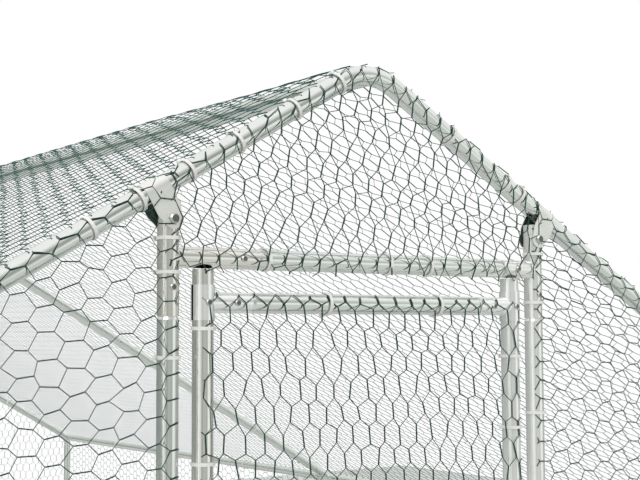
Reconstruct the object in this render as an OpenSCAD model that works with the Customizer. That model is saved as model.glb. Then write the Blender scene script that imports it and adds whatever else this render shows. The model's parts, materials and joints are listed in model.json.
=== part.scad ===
// Walk-in chicken run: tube frame in two bays, pitched roof, hinged door and wire netting
// Lengths are in millimetres, X runs to the right along the front, Y into the run and Z up

/* [Run] */
// Width between the axes of the left and right legs
run_w = 2700; // [2500:10:2900]
// Length of one bay, between the planes of two hoops
bay_l = 1950; // [1700:10:2200]
// Height of the eave rail axes
eave_z = 1180; // [1140:10:1240]
// Height at which the axes of the roof tubes would meet
ridge_z = 1970; // [1950:10:2010]
// Height of the side base rail axes
base_z = 18; // [16:1:24]
// Height of the sill and of the other base rails across the ends
end_base_z = 46; // [45:1:52]

/* [Tube] */
// Outside diameter of the frame tubes
tube_d = 25; // [24:0.5:26]
// Wall of the frame tubes
tube_wall = 1.2; // [1:0.1:1.5]
// Length of a necked tube end inside its socket
plug_l = 40; // [34:1:44]
// Length of the cone between a tube and its necked end
shoulder_l = 4; // [3:0.5:6]
// Length of the welded stubs, from the axis of the tube that carries them
stub_l = 62; // [60:1:70]
// Amount by which the welded stubs are slimmer than the tube
stub_trim = 0.4; // [0.2:0.1:0.6]
// Distance of a joint screw from the mouth of its socket
screw_inset = 22; // [16:1:28]

/* [Bends] */
// Radius of the roof bends on the tube axis
roof_bend_r = 85; // [60:1:95]
// Radius of the bend at the top of each leg on the tube axis
eave_bend_r = 60; // [50:1:70]
// Distance of the roof bend ends from the middle of the run
roof_bend_reach = 620; // [500:10:740]
// Length of the sloping end of each leg, from its ideal corner
leg_slope_l = 150; // [130:5:200]

/* [Doorway] */
// Distance between the axes of the two door posts
post_spacing = 582; // [560:2:620]
// Distance of the lintel axis below the point where the roof tubes would meet
lintel_drop = 256; // [250:1:270]
// Distance of the joint in each door post below the lintel axis
post_joint_drop = 68; // [64:1:80]
// Distance of the post screw above that joint
post_screw_rise = 33; // [24:1:36]
// Length of the lintel stub on the left post
left_stub_l = 117; // [100:1:130]
// Gap between the top of a post and the roof tube above it
post_top_gap = 1; // [0.5:0.5:3]

/* [Roof brackets] */
// Thickness of the bracket sheet
sheet_t = 1.5; // [1:0.1:1.6]
// Width of a bracket along the roof tube
bracket_w = 32; // [28:1:36]
// Distance of the bracket bolt from the roof tube axis, square to it
bolt_drop = 37; // [35:1:40]
// Radius of the round end of a bracket
lobe_r = 12; // [10:0.5:13]
// Length of the straight sides of a flange, from the roof tube axis
flange_side_l = 26; // [20:1:30]
// Diameter of the small hole near the top of a flange
eyelet_d = 3.5; // [2.5:0.5:4]
// Distance of the small hole from the roof tube axis, square to it
eyelet_drop = 3.5; // [3:0.5:7]

/* [Fasteners] */
// Diameter of the bracket bolts
bolt_d = 6; // [5:0.5:6]
// Diameter of the bolt heads
bolt_head_d = 12; // [11:0.5:13]
// Height of the bolt heads
bolt_head_h = 3.6; // [3:0.1:4]
// Width of the nuts across their corners
nut_d = 11.5; // [11:0.5:13]
// Thickness of the nuts
nut_t = 5; // [4:0.5:6]
// Length of the bolt that shows past its nut
bolt_tail = 3; // [2:0.5:6]
// Diameter of the joint screws
screw_d = 4.2; // [3.5:0.1:4.8]
// Diameter of the screw heads
screw_head_d = 8; // [7:0.5:9]
// Height of the screw heads
screw_head_h = 2.4; // [2:0.1:3]
// Length of a joint screw under its head
screw_l = 9; // [7:0.5:10]
// Thickness of the foot caps under the tubes
cap_t = 2; // [1:0.5:3]
// Height of the foot caps inside the tubes
cap_plug_l = 5; // [3:0.5:5]

/* [Door] */
// Distance from a door post axis to the door upright axis beside it
side_pitch = 46; // [45:0.5:50]
// Distance of the top bar axis below the lintel axis
bar_drop = 52; // [50:1:60]
// Length of an upright past the axis of the bar at its end
upright_over = 38.5; // [30:0.5:38.5]
// Gap between the sill and the lower ends of the uprights
door_foot_gap = 14; // [10:1:24]
// Share of the door height at which the middle bar sits
middle_bar_share = 0.48; // [0.4:0.01:0.56]
// Height of the T sleeves on the uprights
tee_h = 41; // [38:1:50]
// Width of the slit in a T sleeve
tee_slit = 2; // [1.5:0.5:4]

/* [Hinges] */
// Height of the lower hinge
hinge_low_z = 330; // [300:5:400]
// Height of the upper hinge
hinge_high_z = 1250; // [1150:5:1350]
// Height of one hinge leaf
leaf_h = 14; // [12:1:18]
// Gap between the two leaves of a hinge
leaf_gap = 0.5; // [0.4:0.1:1]
// Thickness of the web that carries a hinge eye
web_t = 6; // [4:0.5:8]
// Diameter of the hinge pins
pin_d = 8; // [6:0.5:8]
// Outside diameter of the hinge eyes
eye_d = 13; // [12:0.5:14]
// Diameter of the head on a hinge pin
pin_head_d = 12; // [11:0.5:13]
// Thickness of the head on a hinge pin
pin_head_t = 2; // [1.5:0.5:3]

/* [Latch] */
// Height of the latch
latch_z = 1000; // [900:10:1100]
// Height of the latch bands on the tubes
band_h = 30; // [24:1:36]
// Thickness of the ears that stand forward from the bands
ear_t = 2; // [1.5:0.1:2.4]
// Distance of the latch bolt axis in front of the door plane
latch_out = 25.5; // [25:0.5:28]
// Diameter of the latch bolt
latch_d = 8; // [6:0.5:8]
// Outside diameter of the guide barrel
barrel_d = 13; // [12:0.5:14]
// Length of the guide barrel
barrel_l = 38; // [30:1:40]
// Distance that the bolt tip shows past the guide when drawn back
latch_tip = 2; // [1:0.5:4]
// Length of the straight part of the bolt behind the guide
latch_tail = 62; // [58:1:70]
// Radius of the bend between bolt and handle
latch_bend_r = 12; // [10:1:14]
// Length of the handle below the bolt axis
latch_handle_l = 46; // [36:1:60]

/* [Netting] */
// Thickness of a net
net_t = 2.2; // [1.5:0.1:2.4]
// Gap between a net and the sheet bands under it
net_gap = 0.3; // [0.2:0.1:0.6]
// Width of the bars between the gaps of a net
net_bar = 6; // [4:0.5:8]
// Width of the edge of a net on its tube
net_edge = 8; // [6:0.5:10]
// Width of the edge of a net that shares a post with another
shared_edge = 6; // [4:0.5:6]
// Half of the gap between two nets that share a tube
net_parting = 0.3; // [0.2:0.1:1]
// Width of the eye of a net round a screw head
net_eye = 3; // [2:0.5:4]
// Distance between two gaps of the roof and wall nets and of the back net
wide_cell = 395; // [370:5:395]
// Distance between two gaps of the nets beside the door
front_cell = 300; // [280:10:360]
// Distance between two gaps of the gable net
gable_cell = 120; // [110:5:150]
// Distance between two gaps of the door net
door_cell = 190; // [170:5:240]
// Share of a full gap below which a clipped gap is left out
smallest_gap_share = 0.02; // [0.01:0.01:0.06]

/* [Cable ties] */
// Width of a cable tie along its tube
tie_w = 4.5; // [3:0.1:5]
// Thickness of a cable tie
tie_t = 1.2; // [1:0.1:1.3]
// Diameter of the head of a cable tie
tie_head_d = 6; // [5:0.5:7]
// Height of the head of a cable tie
tie_head_h = 3.5; // [3:0.5:5]
// Number of ties on each long rail
rail_ties = 3; // [2:1:5]
// Number of ties on each upper leg, rafter and end rail
short_ties = 2; // [1:1:3]

/* [Hidden] */
$fn = 32;
// Overrun of cuts past the faces that they open
cut = 1;
// Radial gap of a plug in its socket and of a cap in its tube
plug_gap = 0.1;
// Radial gap of bands, sleeves, saddles and ties on their tubes
band_gap = 0.05;
// Radial gap of screws and bolts in their holes
screw_gap = 0.15;
// Radial gap of running pins and bolts
run_gap = 0.05;
// Radial gap of the latch bolt in its keeper
keeper_gap = 0.75;
// Gap between a net and a screw or bolt head inside one of its holes
head_gap = 0.6;
// Amount by which a bend is thicker than its straight parts, and their lap in it
bend_swell = 0.1;
bend_lap = 1;
// Lap of the bracket flanges in their saddle, and the amount by which they are thinner and narrower
flange_lap = 0.5;
flange_trim = 0.05;
// Depth of the weld between a tube and the socket of its stub
weld_l = 1.5;
// Depth by which an ear or web goes into its band
root_l = 1;

tube_r = tube_d / 2;
bore_r = tube_r - tube_wall;
plug_r = bore_r - plug_gap;
stub_r = tube_r - stub_trim / 2;
neck_l = shoulder_l + plug_l;
band_r = tube_r + band_gap;
half_w = run_w / 2;
half_post = post_spacing / 2;
slope = atan((ridge_z - eave_z) / half_w);
hoop_y = [-bay_l, 0, bay_l];
front_y = hoop_y[0];
back_y = hoop_y[2];
ridge_tube_z = ridge_z - roof_bend_r * (1 / cos(slope) - 1);
lintel_z = ridge_z - lintel_drop;
joint_z = lintel_z - post_joint_drop;
post_axis_z = roof_z(half_post);
post_top_z = roof_z(half_post + tube_r) - tube_r / cos(slope) - post_top_gap;
bolt_z = post_axis_z - bolt_drop / cos(slope);
net_in = band_r + sheet_t + net_gap;
upright_x = half_post - side_pitch;
top_bar_z = lintel_z - bar_drop;
upright_high = top_bar_z + upright_over;
upright_low = end_base_z + tube_r + door_foot_gap;
low_bar_z = upright_low + upright_over;
middle_bar_z = low_bar_z + (top_bar_z - low_bar_z) * middle_bar_share;
bar_zs = [low_bar_z, middle_bar_z, top_bar_z];
tee_r = band_r + sheet_t;
pin_x = -half_post + side_pitch / 2;
hinge_zs = [hinge_low_z, hinge_high_z];
latch_y = front_y - latch_out;
guide_x = upright_x + tee_r + ear_t - root_l;
keeper_x = half_post - tee_r - ear_t + root_l;
tip_x = guide_x + latch_tip;
handle_x = guide_x - barrel_l - latch_tail;
apex = [0, ridge_z];

// Height of the roof tube axis at a distance from the middle
function roof_z(x) = ridge_z - abs(x) * tan(slope);
// Point in the plane of a hoop, on the roof line of one side
function roof_point(side, x) = [side * x, roof_z(x)];
// Point of a hoop in space
function in_hoop(p, y) = [p[0], y, p[1]];
// End of the roof bend and end of the leg on one side
function bend_end(side) = roof_point(side, roof_bend_reach);
function leg_end(side) = roof_point(side, half_w - leg_slope_l * cos(slope));
function eave_corner(side) = [side * half_w, eave_z];
// Unit vector from one point to another
function toward(a, b) = (b - a) / norm(b - a);
// Direction straight away from the underside of the roof on one side
function under_roof(side) = [-side * sin(slope), 0, -cos(slope)];

// Screws: the point on the tube axis and the direction of the head
function screw_at(a, b, socket, head) = [a + toward(a, b) * (socket - screw_inset), head];
function both_screws(a, b, socket_a, socket_b, head) =
    [screw_at(a, b, socket_a, head), screw_at(b, a, socket_b, head)];

// Ends of the rails in the three bays and ends of the frame
function ridge_ends(bay) = [[0, hoop_y[bay], ridge_tube_z], [0, hoop_y[bay + 1], ridge_tube_z]];
function eave_ends(side, bay) =
    [[side * half_w, hoop_y[bay], eave_z], [side * half_w, hoop_y[bay + 1], eave_z]];
function base_ends(side, bay) =
    [[side * half_w, hoop_y[bay], base_z], [side * half_w, hoop_y[bay + 1], base_z]];
function end_ends(x_a, x_b, y) = [[x_a, y, end_base_z], [x_b, y, end_base_z]];
function rafter_ends(side, y) = [in_hoop(bend_end(side), y), in_hoop(leg_end(side), y)];

// Screws of those rails
inward = [0, 1, 0];
outward = [0, -1, 0];
downward = [0, 0, -1];
function side_inward(side) = [-side, 0, 0];
function end_inward(y) = [0, -sign(y), 0];
function ridge_screws(bay) =
    both_screws(ridge_ends(bay)[0], ridge_ends(bay)[1], stub_l, stub_l, downward);
function eave_screws(side, bay) =
    both_screws(eave_ends(side, bay)[0], eave_ends(side, bay)[1], stub_l, stub_l, side_inward(side));
function base_screws(side, bay) =
    both_screws(base_ends(side, bay)[0], base_ends(side, bay)[1], stub_l, stub_l, side_inward(side));
function end_screws(x_a, x_b, y) =
    both_screws(end_ends(x_a, x_b, y)[0], end_ends(x_a, x_b, y)[1], stub_l, stub_l, end_inward(y));
function rafter_screws(side, y) =
    both_screws(rafter_ends(side, y)[0], rafter_ends(side, y)[1], 0, 0, under_roof(side));
lintel_ends = [[-half_post, front_y, lintel_z], [half_post, front_y, lintel_z]];
lintel_screws = both_screws(lintel_ends[0], lintel_ends[1], left_stub_l, stub_l, outward);
function post_screw(side) = [[side * half_post, front_y, joint_z + post_screw_rise], outward];
end_xs = [-half_w, -half_post, half_post, half_w];
function row_screws(y) = [for (i = [0:2]) each end_screws(end_xs[i], end_xs[i + 1], y)];
front_screw_list = concat(lintel_screws, [post_screw(-1), post_screw(1)], row_screws(front_y));
frame_screw_list = concat(
    row_screws(back_y),
    [for (bay = [0:1]) each ridge_screws(bay)],
    [for (side = [-1, 1], bay = [0:1]) each concat(eave_screws(side, bay), base_screws(side, bay))],
    [for (side = [-1, 1], y = hoop_y) each rafter_screws(side, y)]);

// Screws of the door bars and of the T sleeves
function bar_ends(z) = [[-upright_x, front_y, z], [upright_x, front_y, z]];
function bar_screws(z) = both_screws(bar_ends(z)[0], bar_ends(z)[1], stub_l, stub_l, outward);
function tee_screw(side, z) = [[side * upright_x, front_y, z], outward];
bar_screw_list = [for (z = bar_zs) each bar_screws(z)];
tee_screw_list = [for (side = [-1, 1], z = bar_zs) tee_screw(side, z)];

// Cable ties: the point on the tube axis, a second point on it and the side of the net
function ties_between(a, b, count, net) =
    [for (i = [0:count - 1]) [a + (b - a) * (i + 1) / (count + 1), toward(a, b), net]];
front_roof_tie_xs = [-390, -330, -266, -200, -118, -50, 136, 236, 262];
left_post_tie_drops = [-21, 18, 115, 480, 900, 1400];
right_post_tie_drops = [-22, 46, 199, 560, 980, 1440];
lintel_tie_xs = [-160, 26, 94];
bar_tie_xs = [-70, 110];
left_upright_tie_drops = [82, 237, 700, 1180];
right_upright_tie_drops = [120, 217, 620, 1120];
up = [0, 0, 1];
along_x = [1, 0, 0];
function roof_normal(side) = [side * sin(slope), 0, cos(slope)];
function roof_along(side) = [side * cos(slope), 0, -sin(slope)];
frame_tie_list = concat(
    [for (x = front_roof_tie_xs)
        [in_hoop(roof_point(sign(x), abs(x)), front_y), roof_along(sign(x)), outward]],
    [for (drop = left_post_tie_drops) [[-half_post, front_y, lintel_z - drop], up, outward]],
    [for (drop = right_post_tie_drops) [[half_post, front_y, lintel_z - drop], up, outward]],
    [for (x = lintel_tie_xs) [[x, front_y, lintel_z], along_x, outward]],
    [for (side = [-1, 1], y = [front_y, back_y]) each ties_between(
        [side * half_w, y, end_base_z], [side * half_w, y, eave_z], rail_ties, [0, sign(y), 0])],
    [for (side = [-1, 1]) each ties_between(
        [side * half_w, 0, base_z], [side * half_w, 0, eave_z], rail_ties, [side, 0, 0])],
    [for (side = [-1, 1], y = [front_y, back_y]) each ties_between(
        [side * half_post, y, end_base_z], [side * half_w, y, end_base_z], short_ties, [0, sign(y), 0])],
    [for (side = [-1, 1], bay = [0:1]) each concat(
        ties_between(base_ends(side, bay)[0], base_ends(side, bay)[1], rail_ties, [side, 0, 0]),
        ties_between(eave_ends(side, bay)[0], eave_ends(side, bay)[1], rail_ties, roof_normal(side)))],
    [for (side = [-1, 1]) each ties_between(
        rafter_ends(side, 0)[0], rafter_ends(side, 0)[1], rail_ties, roof_normal(side))],
    [for (side = [-1, 1]) each ties_between(
        rafter_ends(side, back_y)[0], rafter_ends(side, back_y)[1], rail_ties, inward)],
    [for (side = [-1, 1]) each ties_between(
        rafter_ends(side, front_y)[0], rafter_ends(side, front_y)[1], short_ties, outward)]);
door_tie_list = concat(
    [for (x = bar_tie_xs) [[x, front_y, top_bar_z], along_x, outward]],
    [for (x = bar_tie_xs) [[x, front_y, low_bar_z], along_x, outward]],
    [for (drop = left_upright_tie_drops) [[-upright_x, front_y, lintel_z - drop], up, outward]],
    [for (drop = right_upright_tie_drops) [[upright_x, front_y, lintel_z - drop], up, outward]]);

// Outlines of the nets, each counter-clockwise in its own plane
edge_half = net_edge / 2;
function roof_edge_z(x) = roof_z(x) + edge_half / cos(slope);
crown_z = ridge_tube_z + edge_half;
crown_x = (roof_edge_z(0) - crown_z) / tan(slope);
net_low_z = end_base_z - edge_half;
inner_post_x = half_post - net_parting;
outer_post_x = half_post + net_parting;
front_outline = [
    [outer_post_x, net_low_z], [half_w + edge_half, net_low_z],
    [half_w + edge_half, roof_edge_z(half_w + edge_half)], [outer_post_x, roof_edge_z(outer_post_x)]];
gable_outline = [
    [-inner_post_x, lintel_z - edge_half], [inner_post_x, lintel_z - edge_half],
    [inner_post_x, roof_edge_z(inner_post_x)], [crown_x, crown_z], [-crown_x, crown_z],
    [-inner_post_x, roof_edge_z(inner_post_x)]];
back_outline = [
    [-half_w - edge_half, net_low_z], [half_w + edge_half, net_low_z],
    [half_w + edge_half, roof_edge_z(half_w + edge_half)], [crown_x, crown_z], [-crown_x, crown_z],
    [-half_w - edge_half, roof_edge_z(half_w + edge_half)]];
door_outline = [
    [-upright_x - edge_half, low_bar_z - edge_half], [upright_x + edge_half, low_bar_z - edge_half],
    [upright_x + edge_half, top_bar_z + edge_half], [-upright_x - edge_half, top_bar_z + edge_half]];
wall_outline = [
    [front_y - edge_half, base_z - edge_half], [back_y + edge_half, base_z - edge_half],
    [back_y + edge_half, eave_z + edge_half], [front_y - edge_half, eave_z + edge_half]];
ridge_part = net_parting + (net_in + net_t) * tan(slope);
slope_l = half_w / cos(slope);
roof_outline = [
    [front_y - edge_half, -slope_l - edge_half], [back_y + edge_half, -slope_l - edge_half],
    [back_y + edge_half, -ridge_part], [front_y - edge_half, -ridge_part]];

// Part of a polygon on the inner side of one edge of a region, moved in by a width
function clip_edge(poly, a, b, width) =
    let (n = [a[1] - b[1], b[0] - a[0]] / norm(b - a))
    [for (i = [0:len(poly) - 1])
        let (p = poly[i], q = poly[(i + 1) % len(poly)])
        let (dp = (p - a) * n - width, dq = (q - a) * n - width)
        each concat(dp >= 0 ? [p] : [], (dp >= 0) != (dq >= 0) ? [p + (q - p) * dp / (dp - dq)] : [])];
function clip(poly, region, widths, i = 0) =
    i == len(region) || len(poly) < 3 ? poly :
    clip(clip_edge(poly, region[i], region[(i + 1) % len(region)], widths[i]), region, widths, i + 1);
function area(poly) =
    len(poly) < 3 ? 0 :
    abs([for (i = [0:len(poly) - 1]) cross(poly[i], poly[(i + 1) % len(poly)])]
        * [for (p = poly) 1]) / 2;
function low_of(poly, k) = min([for (p = poly) p[k]]);
function high_of(poly, k) = max([for (p = poly) p[k]]);
// Hexagonal gap with upright or level sides
function hexagon(c, cell, level) =
    let (r = (cell - net_bar) / 2 / cos(30))
    [for (i = [0:5]) c + r * [cos(60 * i + (level ? 0 : 30)), sin(60 * i + (level ? 0 : 30))]];
// Gaps of a net, clipped to its outline inside its edges
function gaps_of(outline, widths, cell, level) =
    let (row = cell * cos(30), u = level ? 1 : 0, v = level ? 0 : 1)
    let (u0 = low_of(outline, u), v0 = low_of(outline, v))
    let (columns = ceil((high_of(outline, u) - u0) / cell))
    let (rows = ceil((high_of(outline, v) - v0) / row))
    let (smallest = smallest_gap_share * area(hexagon([0, 0], cell, level)))
    [for (j = [0:rows], i = [0:columns])
        let (pu = u0 + (i + (j % 2) / 2) * cell, pv = v0 + j * row)
        let (g = clip(hexagon(level ? [pv, pu] : [pu, pv], cell, level), outline, widths))
        if (area(g) > smallest) g];

// Turns upright children to a direction
module aim(d) {
    rotate([0, acos(d[2] / norm(d)), atan2(d[1], d[0])]) children();
}

// Places what is drawn in X and Z in the plane of a hoop
module hoop_plane(y) {
    translate([0, y, 0]) rotate([90, 0, 0]) children();
}

// Outline of half a tube with an optional neck at each end
function tube_profile(l, low, high, inset, extra) = concat(
    [[0, (low ? -neck_l : 0) - extra]],
    low ? [[plug_r - inset, -neck_l - extra], [plug_r - inset, -shoulder_l], [tube_r - inset, 0]]
        : [[tube_r - inset, -extra]],
    high ? [[tube_r - inset, l], [plug_r - inset, l + shoulder_l], [plug_r - inset, l + neck_l + extra]]
        : [[tube_r - inset, l + extra]],
    [[0, l + (high ? neck_l : 0) + extra]]);

module tube_solid(l, low, high) {
    rotate_extrude() polygon(tube_profile(l, low, high, 0, 0));
}

module tube_bore(l, low, high) {
    rotate_extrude() polygon(tube_profile(l, low, high, tube_wall, cut));
}

module tube(l, low, high) {
    difference() {
        tube_solid(l, low, high);
        tube_bore(l, low, high);
    }
}

// Rod from a to c with a round bend of its own thickness at the ideal corner b
module bent_rod(a, b, c, bend, r, bend_rod_r, extra) {
    u = toward(b, a);
    v = toward(b, c);
    turn = 180 - acos(u * v);
    tangent = bend * tan(turn / 2);
    centre = b + (u + v) / norm(u + v) * bend / cos(turn / 2);
    from_u = b + u * tangent - centre;
    from_v = b + v * tangent - centre;
    flip = cross(from_u, from_v) < 0;
    first = flip ? from_v : from_u;
    a_l = norm(a - b) - tangent + extra + bend_lap;
    c_l = norm(c - b) - tangent + extra + bend_lap;
    translate([centre[0], centre[1], 0]) rotate([0, 0, atan2(first[1], first[0])]) {
        rotate_extrude(angle = turn) translate([bend, 0]) circle(r = bend_rod_r);
        translate([bend, bend_lap, 0]) rotate([90, 0, 0]) cylinder(r = r, h = flip ? c_l : a_l);
        rotate([0, 0, turn]) translate([bend, -bend_lap, 0]) rotate([-90, 0, 0])
            cylinder(r = r, h = flip ? a_l : c_l);
    }
}

// Welded stub from the axis of its tube and the socket in it
module stub_solid(p, d, l) {
    translate(p) aim(d) cylinder(r = stub_r, h = l);
}

module stub_socket(p, d, l) {
    translate(p) aim(d) translate([0, 0, tube_r + weld_l])
        cylinder(r = bore_r, h = l - tube_r - weld_l + cut);
}

// Cuts the holes of a list of screws
module bored(screws) {
    difference() {
        children();
        for (s = screws)
            translate(s[0]) aim(s[1]) cylinder(r = screw_d / 2 + screw_gap, h = tube_d);
    }
}

// Rail between the sockets at a and b
module rail(a, b, socket_a, socket_b, head) {
    bored(both_screws(a, b, socket_a, socket_b, head))
        translate(a) aim(b - a) translate([0, 0, socket_a + shoulder_l])
            tube(norm(b - a) - socket_a - socket_b - 2 * shoulder_l, true, true);
}

// Fastener with a rounded head, on the surface at height z of its axis
module pan_head(d, h, z) {
    edge = h / 2;
    translate([0, 0, z]) cylinder(d = d, h = edge);
    translate([0, 0, z + edge]) cylinder(d1 = d, d2 = d - 2 * edge, h = h - edge);
}

module screw(s, r) {
    translate(s[0]) aim(s[1]) {
        pan_head(screw_head_d, screw_head_h, r);
        translate([0, 0, r - screw_l]) cylinder(d = screw_d, h = screw_l);
    }
}

// Roof bends with their ridge stubs
module roof_bend_rod(r, swell, extra) {
    bent_rod(bend_end(-1), apex, bend_end(1), roof_bend_r, r, r + swell, extra);
}

module roof_bend(y, dirs, screws) {
    bored(screws) difference() {
        union() {
            hoop_plane(y) roof_bend_rod(tube_r, bend_swell, 0);
            for (d = dirs) stub_solid([0, y, ridge_tube_z], [0, d, 0], stub_l);
        }
        hoop_plane(y) roof_bend_rod(bore_r, -bend_swell, cut);
        for (d = dirs) stub_socket([0, y, ridge_tube_z], [0, d, 0], stub_l);
    }
}

function bend_screws(y) = [rafter_screws(-1, y)[0], rafter_screws(1, y)[0]];

module front_roof_bend() {
    color("silver") roof_bend(front_y, [1], concat([ridge_screws(0)[0]], bend_screws(front_y)));
}

module middle_roof_bend() {
    color("silver")
        roof_bend(0, [-1, 1], concat([ridge_screws(0)[1], ridge_screws(1)[0]], bend_screws(0)));
}

module back_roof_bend() {
    color("silver") roof_bend(back_y, [-1], concat([ridge_screws(1)[1]], bend_screws(back_y)));
}

// Rafters between the roof bends and the legs
module rafter(side, y) {
    rail(rafter_ends(side, y)[0], rafter_ends(side, y)[1], 0, 0, under_roof(side));
}

module front_left_rafter() {
    color("silver") rafter(-1, front_y);
}

module front_right_rafter() {
    color("silver") rafter(1, front_y);
}

module middle_rafters() {
    color("silver") for (side = [-1, 1]) rafter(side, 0);
}

module back_rafters() {
    color("silver") for (side = [-1, 1]) rafter(side, back_y);
}

// Legs with their eave, base and end stubs
module leg_rod(side, r, swell, extra) {
    foot = [side * half_w, cap_t];
    bent_rod(foot, eave_corner(side), leg_end(side), eave_bend_r, r, r + swell, extra);
}

module leg(side, y, dirs, screws) {
    eave = [side * half_w, y, eave_z];
    base = [side * half_w, y, base_z];
    end = [side * half_w, y, end_base_z];
    bored(concat(screws, [rafter_screws(side, y)[1]])) difference() {
        union() {
            hoop_plane(y) leg_rod(side, tube_r, bend_swell, 0);
            for (d = dirs) stub_solid(eave, [0, d, 0], stub_l);
            for (d = dirs) stub_solid(base, [0, d, 0], stub_l);
            if (y != 0) stub_solid(end, [-side, 0, 0], stub_l);
        }
        hoop_plane(y) leg_rod(side, bore_r, -bend_swell, cut);
        for (d = dirs) stub_socket(eave, [0, d, 0], stub_l);
        for (d = dirs) stub_socket(base, [0, d, 0], stub_l);
        if (y != 0) stub_socket(end, [-side, 0, 0], stub_l);
    }
}

// Screws in the stubs of a leg
function bay_screws(side, bay, i) = [eave_screws(side, bay)[i], base_screws(side, bay)[i]];
function left_end_screw(y) = end_screws(end_xs[0], end_xs[1], y)[0];
function right_end_screw(y) = end_screws(end_xs[2], end_xs[3], y)[1];

module front_left_leg() {
    color("silver") leg(-1, front_y, [1], concat(bay_screws(-1, 0, 0), [left_end_screw(front_y)]));
}

module front_right_leg() {
    color("silver") leg(1, front_y, [1], concat(bay_screws(1, 0, 0), [right_end_screw(front_y)]));
}

module middle_left_leg() {
    color("silver") leg(-1, 0, [-1, 1], concat(bay_screws(-1, 0, 1), bay_screws(-1, 1, 0)));
}

module middle_right_leg() {
    color("silver") leg(1, 0, [-1, 1], concat(bay_screws(1, 0, 1), bay_screws(1, 1, 0)));
}

module back_left_leg() {
    color("silver") leg(-1, back_y, [-1], concat(bay_screws(-1, 1, 1), [left_end_screw(back_y)]));
}

module back_right_leg() {
    color("silver") leg(1, back_y, [-1], concat(bay_screws(1, 1, 1), [right_end_screw(back_y)]));
}

// Ridge, eave and base rails
module ridge_tubes() {
    color("silver") for (bay = [0:1])
        rail(ridge_ends(bay)[0], ridge_ends(bay)[1], stub_l, stub_l, downward);
}

module eave_rails(side) {
    for (bay = [0:1])
        rail(eave_ends(side, bay)[0], eave_ends(side, bay)[1], stub_l, stub_l, side_inward(side));
}

module left_eave_rails() {
    color("silver") eave_rails(-1);
}

module right_eave_rails() {
    color("silver") eave_rails(1);
}

module side_base_rails() {
    color("silver") for (side = [-1, 1], bay = [0:1])
        rail(base_ends(side, bay)[0], base_ends(side, bay)[1], stub_l, stub_l, side_inward(side));
}

module end_rail(i, y) {
    ends = end_ends(end_xs[i], end_xs[i + 1], y);
    rail(ends[0], ends[1], stub_l, stub_l, end_inward(y));
}

module front_base_rails() {
    color("silver") for (i = [0, 2]) end_rail(i, front_y);
}

module door_sill() {
    color("silver") end_rail(1, front_y);
}

module back_base_rails() {
    color("silver") for (i = [0:2]) end_rail(i, back_y);
}

// Door posts: lower tube with base stubs, upper piece with the lintel stub
module post_with_stubs(side, y, l, neck) {
    p = [side * half_post, y, end_base_z];
    bored(row_screws(y)) difference() {
        union() {
            translate([side * half_post, y, cap_t]) tube_solid(l, false, neck);
            for (d = [-1, 1]) stub_solid(p, [d, 0, 0], stub_l);
        }
        translate([side * half_post, y, cap_t]) tube_bore(l, false, neck);
        for (d = [-1, 1]) stub_socket(p, [d, 0, 0], stub_l);
    }
}

module post_lower(side) {
    bored([post_screw(side)])
        post_with_stubs(side, front_y, joint_z - shoulder_l - cap_t, true);
}

module left_post_lower() {
    color("silver") post_lower(-1);
}

module right_post_lower() {
    color("silver") post_lower(1);
}

// Hole of a bracket bolt through a post or flange
module bolt_bore(side, y) {
    translate([side * half_post, y, bolt_z]) rotate([90, 0, 0])
        cylinder(r = bolt_d / 2 + screw_gap, h = 2 * tube_d, center = true);
}

module post_upper(side, l) {
    p = [side * half_post, front_y, lintel_z];
    bored(concat(lintel_screws, [post_screw(side)])) difference() {
        union() {
            translate([side * half_post, front_y, joint_z]) tube_solid(post_top_z - joint_z, false, false);
            stub_solid(p, [-side, 0, 0], l);
        }
        translate([side * half_post, front_y, joint_z]) tube_bore(post_top_z - joint_z, false, false);
        stub_socket(p, [-side, 0, 0], l);
        bolt_bore(side, front_y);
    }
}

module left_post_upper() {
    color("silver") post_upper(-1, left_stub_l);
}

module right_post_upper() {
    color("silver") post_upper(1, stub_l);
}

module lintel() {
    color("silver") rail(lintel_ends[0], lintel_ends[1], left_stub_l, stub_l, outward);
}

module back_post(side) {
    difference() {
        post_with_stubs(side, back_y, post_top_z - cap_t, false);
        bolt_bore(side, back_y);
    }
}

module back_left_post() {
    color("silver") back_post(-1);
}

module back_right_post() {
    color("silver") back_post(1);
}

// Roof brackets: saddle square to the roof tube with a flange on each side of the post
module flange_shape() {
    side_x = bracket_w / 2 - flange_trim;
    difference() {
        union() {
            polygon([[-side_x, flange_lap], [-side_x, -flange_side_l], [-lobe_r, -bolt_drop],
                [lobe_r, -bolt_drop], [side_x, -flange_side_l], [side_x, flange_lap]]);
            translate([0, -bolt_drop]) circle(r = lobe_r);
        }
        translate([0, -bolt_drop]) circle(r = bolt_d / 2 + screw_gap);
        translate([0, -eyelet_drop]) circle(d = eyelet_d);
    }
}

module bracket(side, y) {
    translate([side * half_post, y, post_axis_z]) rotate([0, side * slope, 0])
        translate([side * bolt_drop * tan(slope), 0, 0]) {
            rotate([90, 0, 90]) translate([0, 0, -bracket_w / 2])
                rotate_extrude(angle = 180) translate([band_r, 0]) square([sheet_t, bracket_w]);
            for (f = [-1, 1]) translate([0, f * (band_r + sheet_t / 2), 0]) rotate([90, 0, 0])
                linear_extrude(sheet_t - 2 * flange_trim, center = true) flange_shape();
        }
}

module left_post_bracket() {
    color("gainsboro") bracket(-1, front_y);
}

module right_post_bracket() {
    color("gainsboro") bracket(1, front_y);
}

module back_post_brackets() {
    color("gainsboro") for (side = [-1, 1]) bracket(side, back_y);
}

// Bracket bolts with their heads outside and their nuts inside
module at_bolts() {
    for (side = [-1, 1], y = [front_y, back_y])
        translate([side * half_post, y, bolt_z]) aim([0, sign(y), 0]) children();
}

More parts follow.
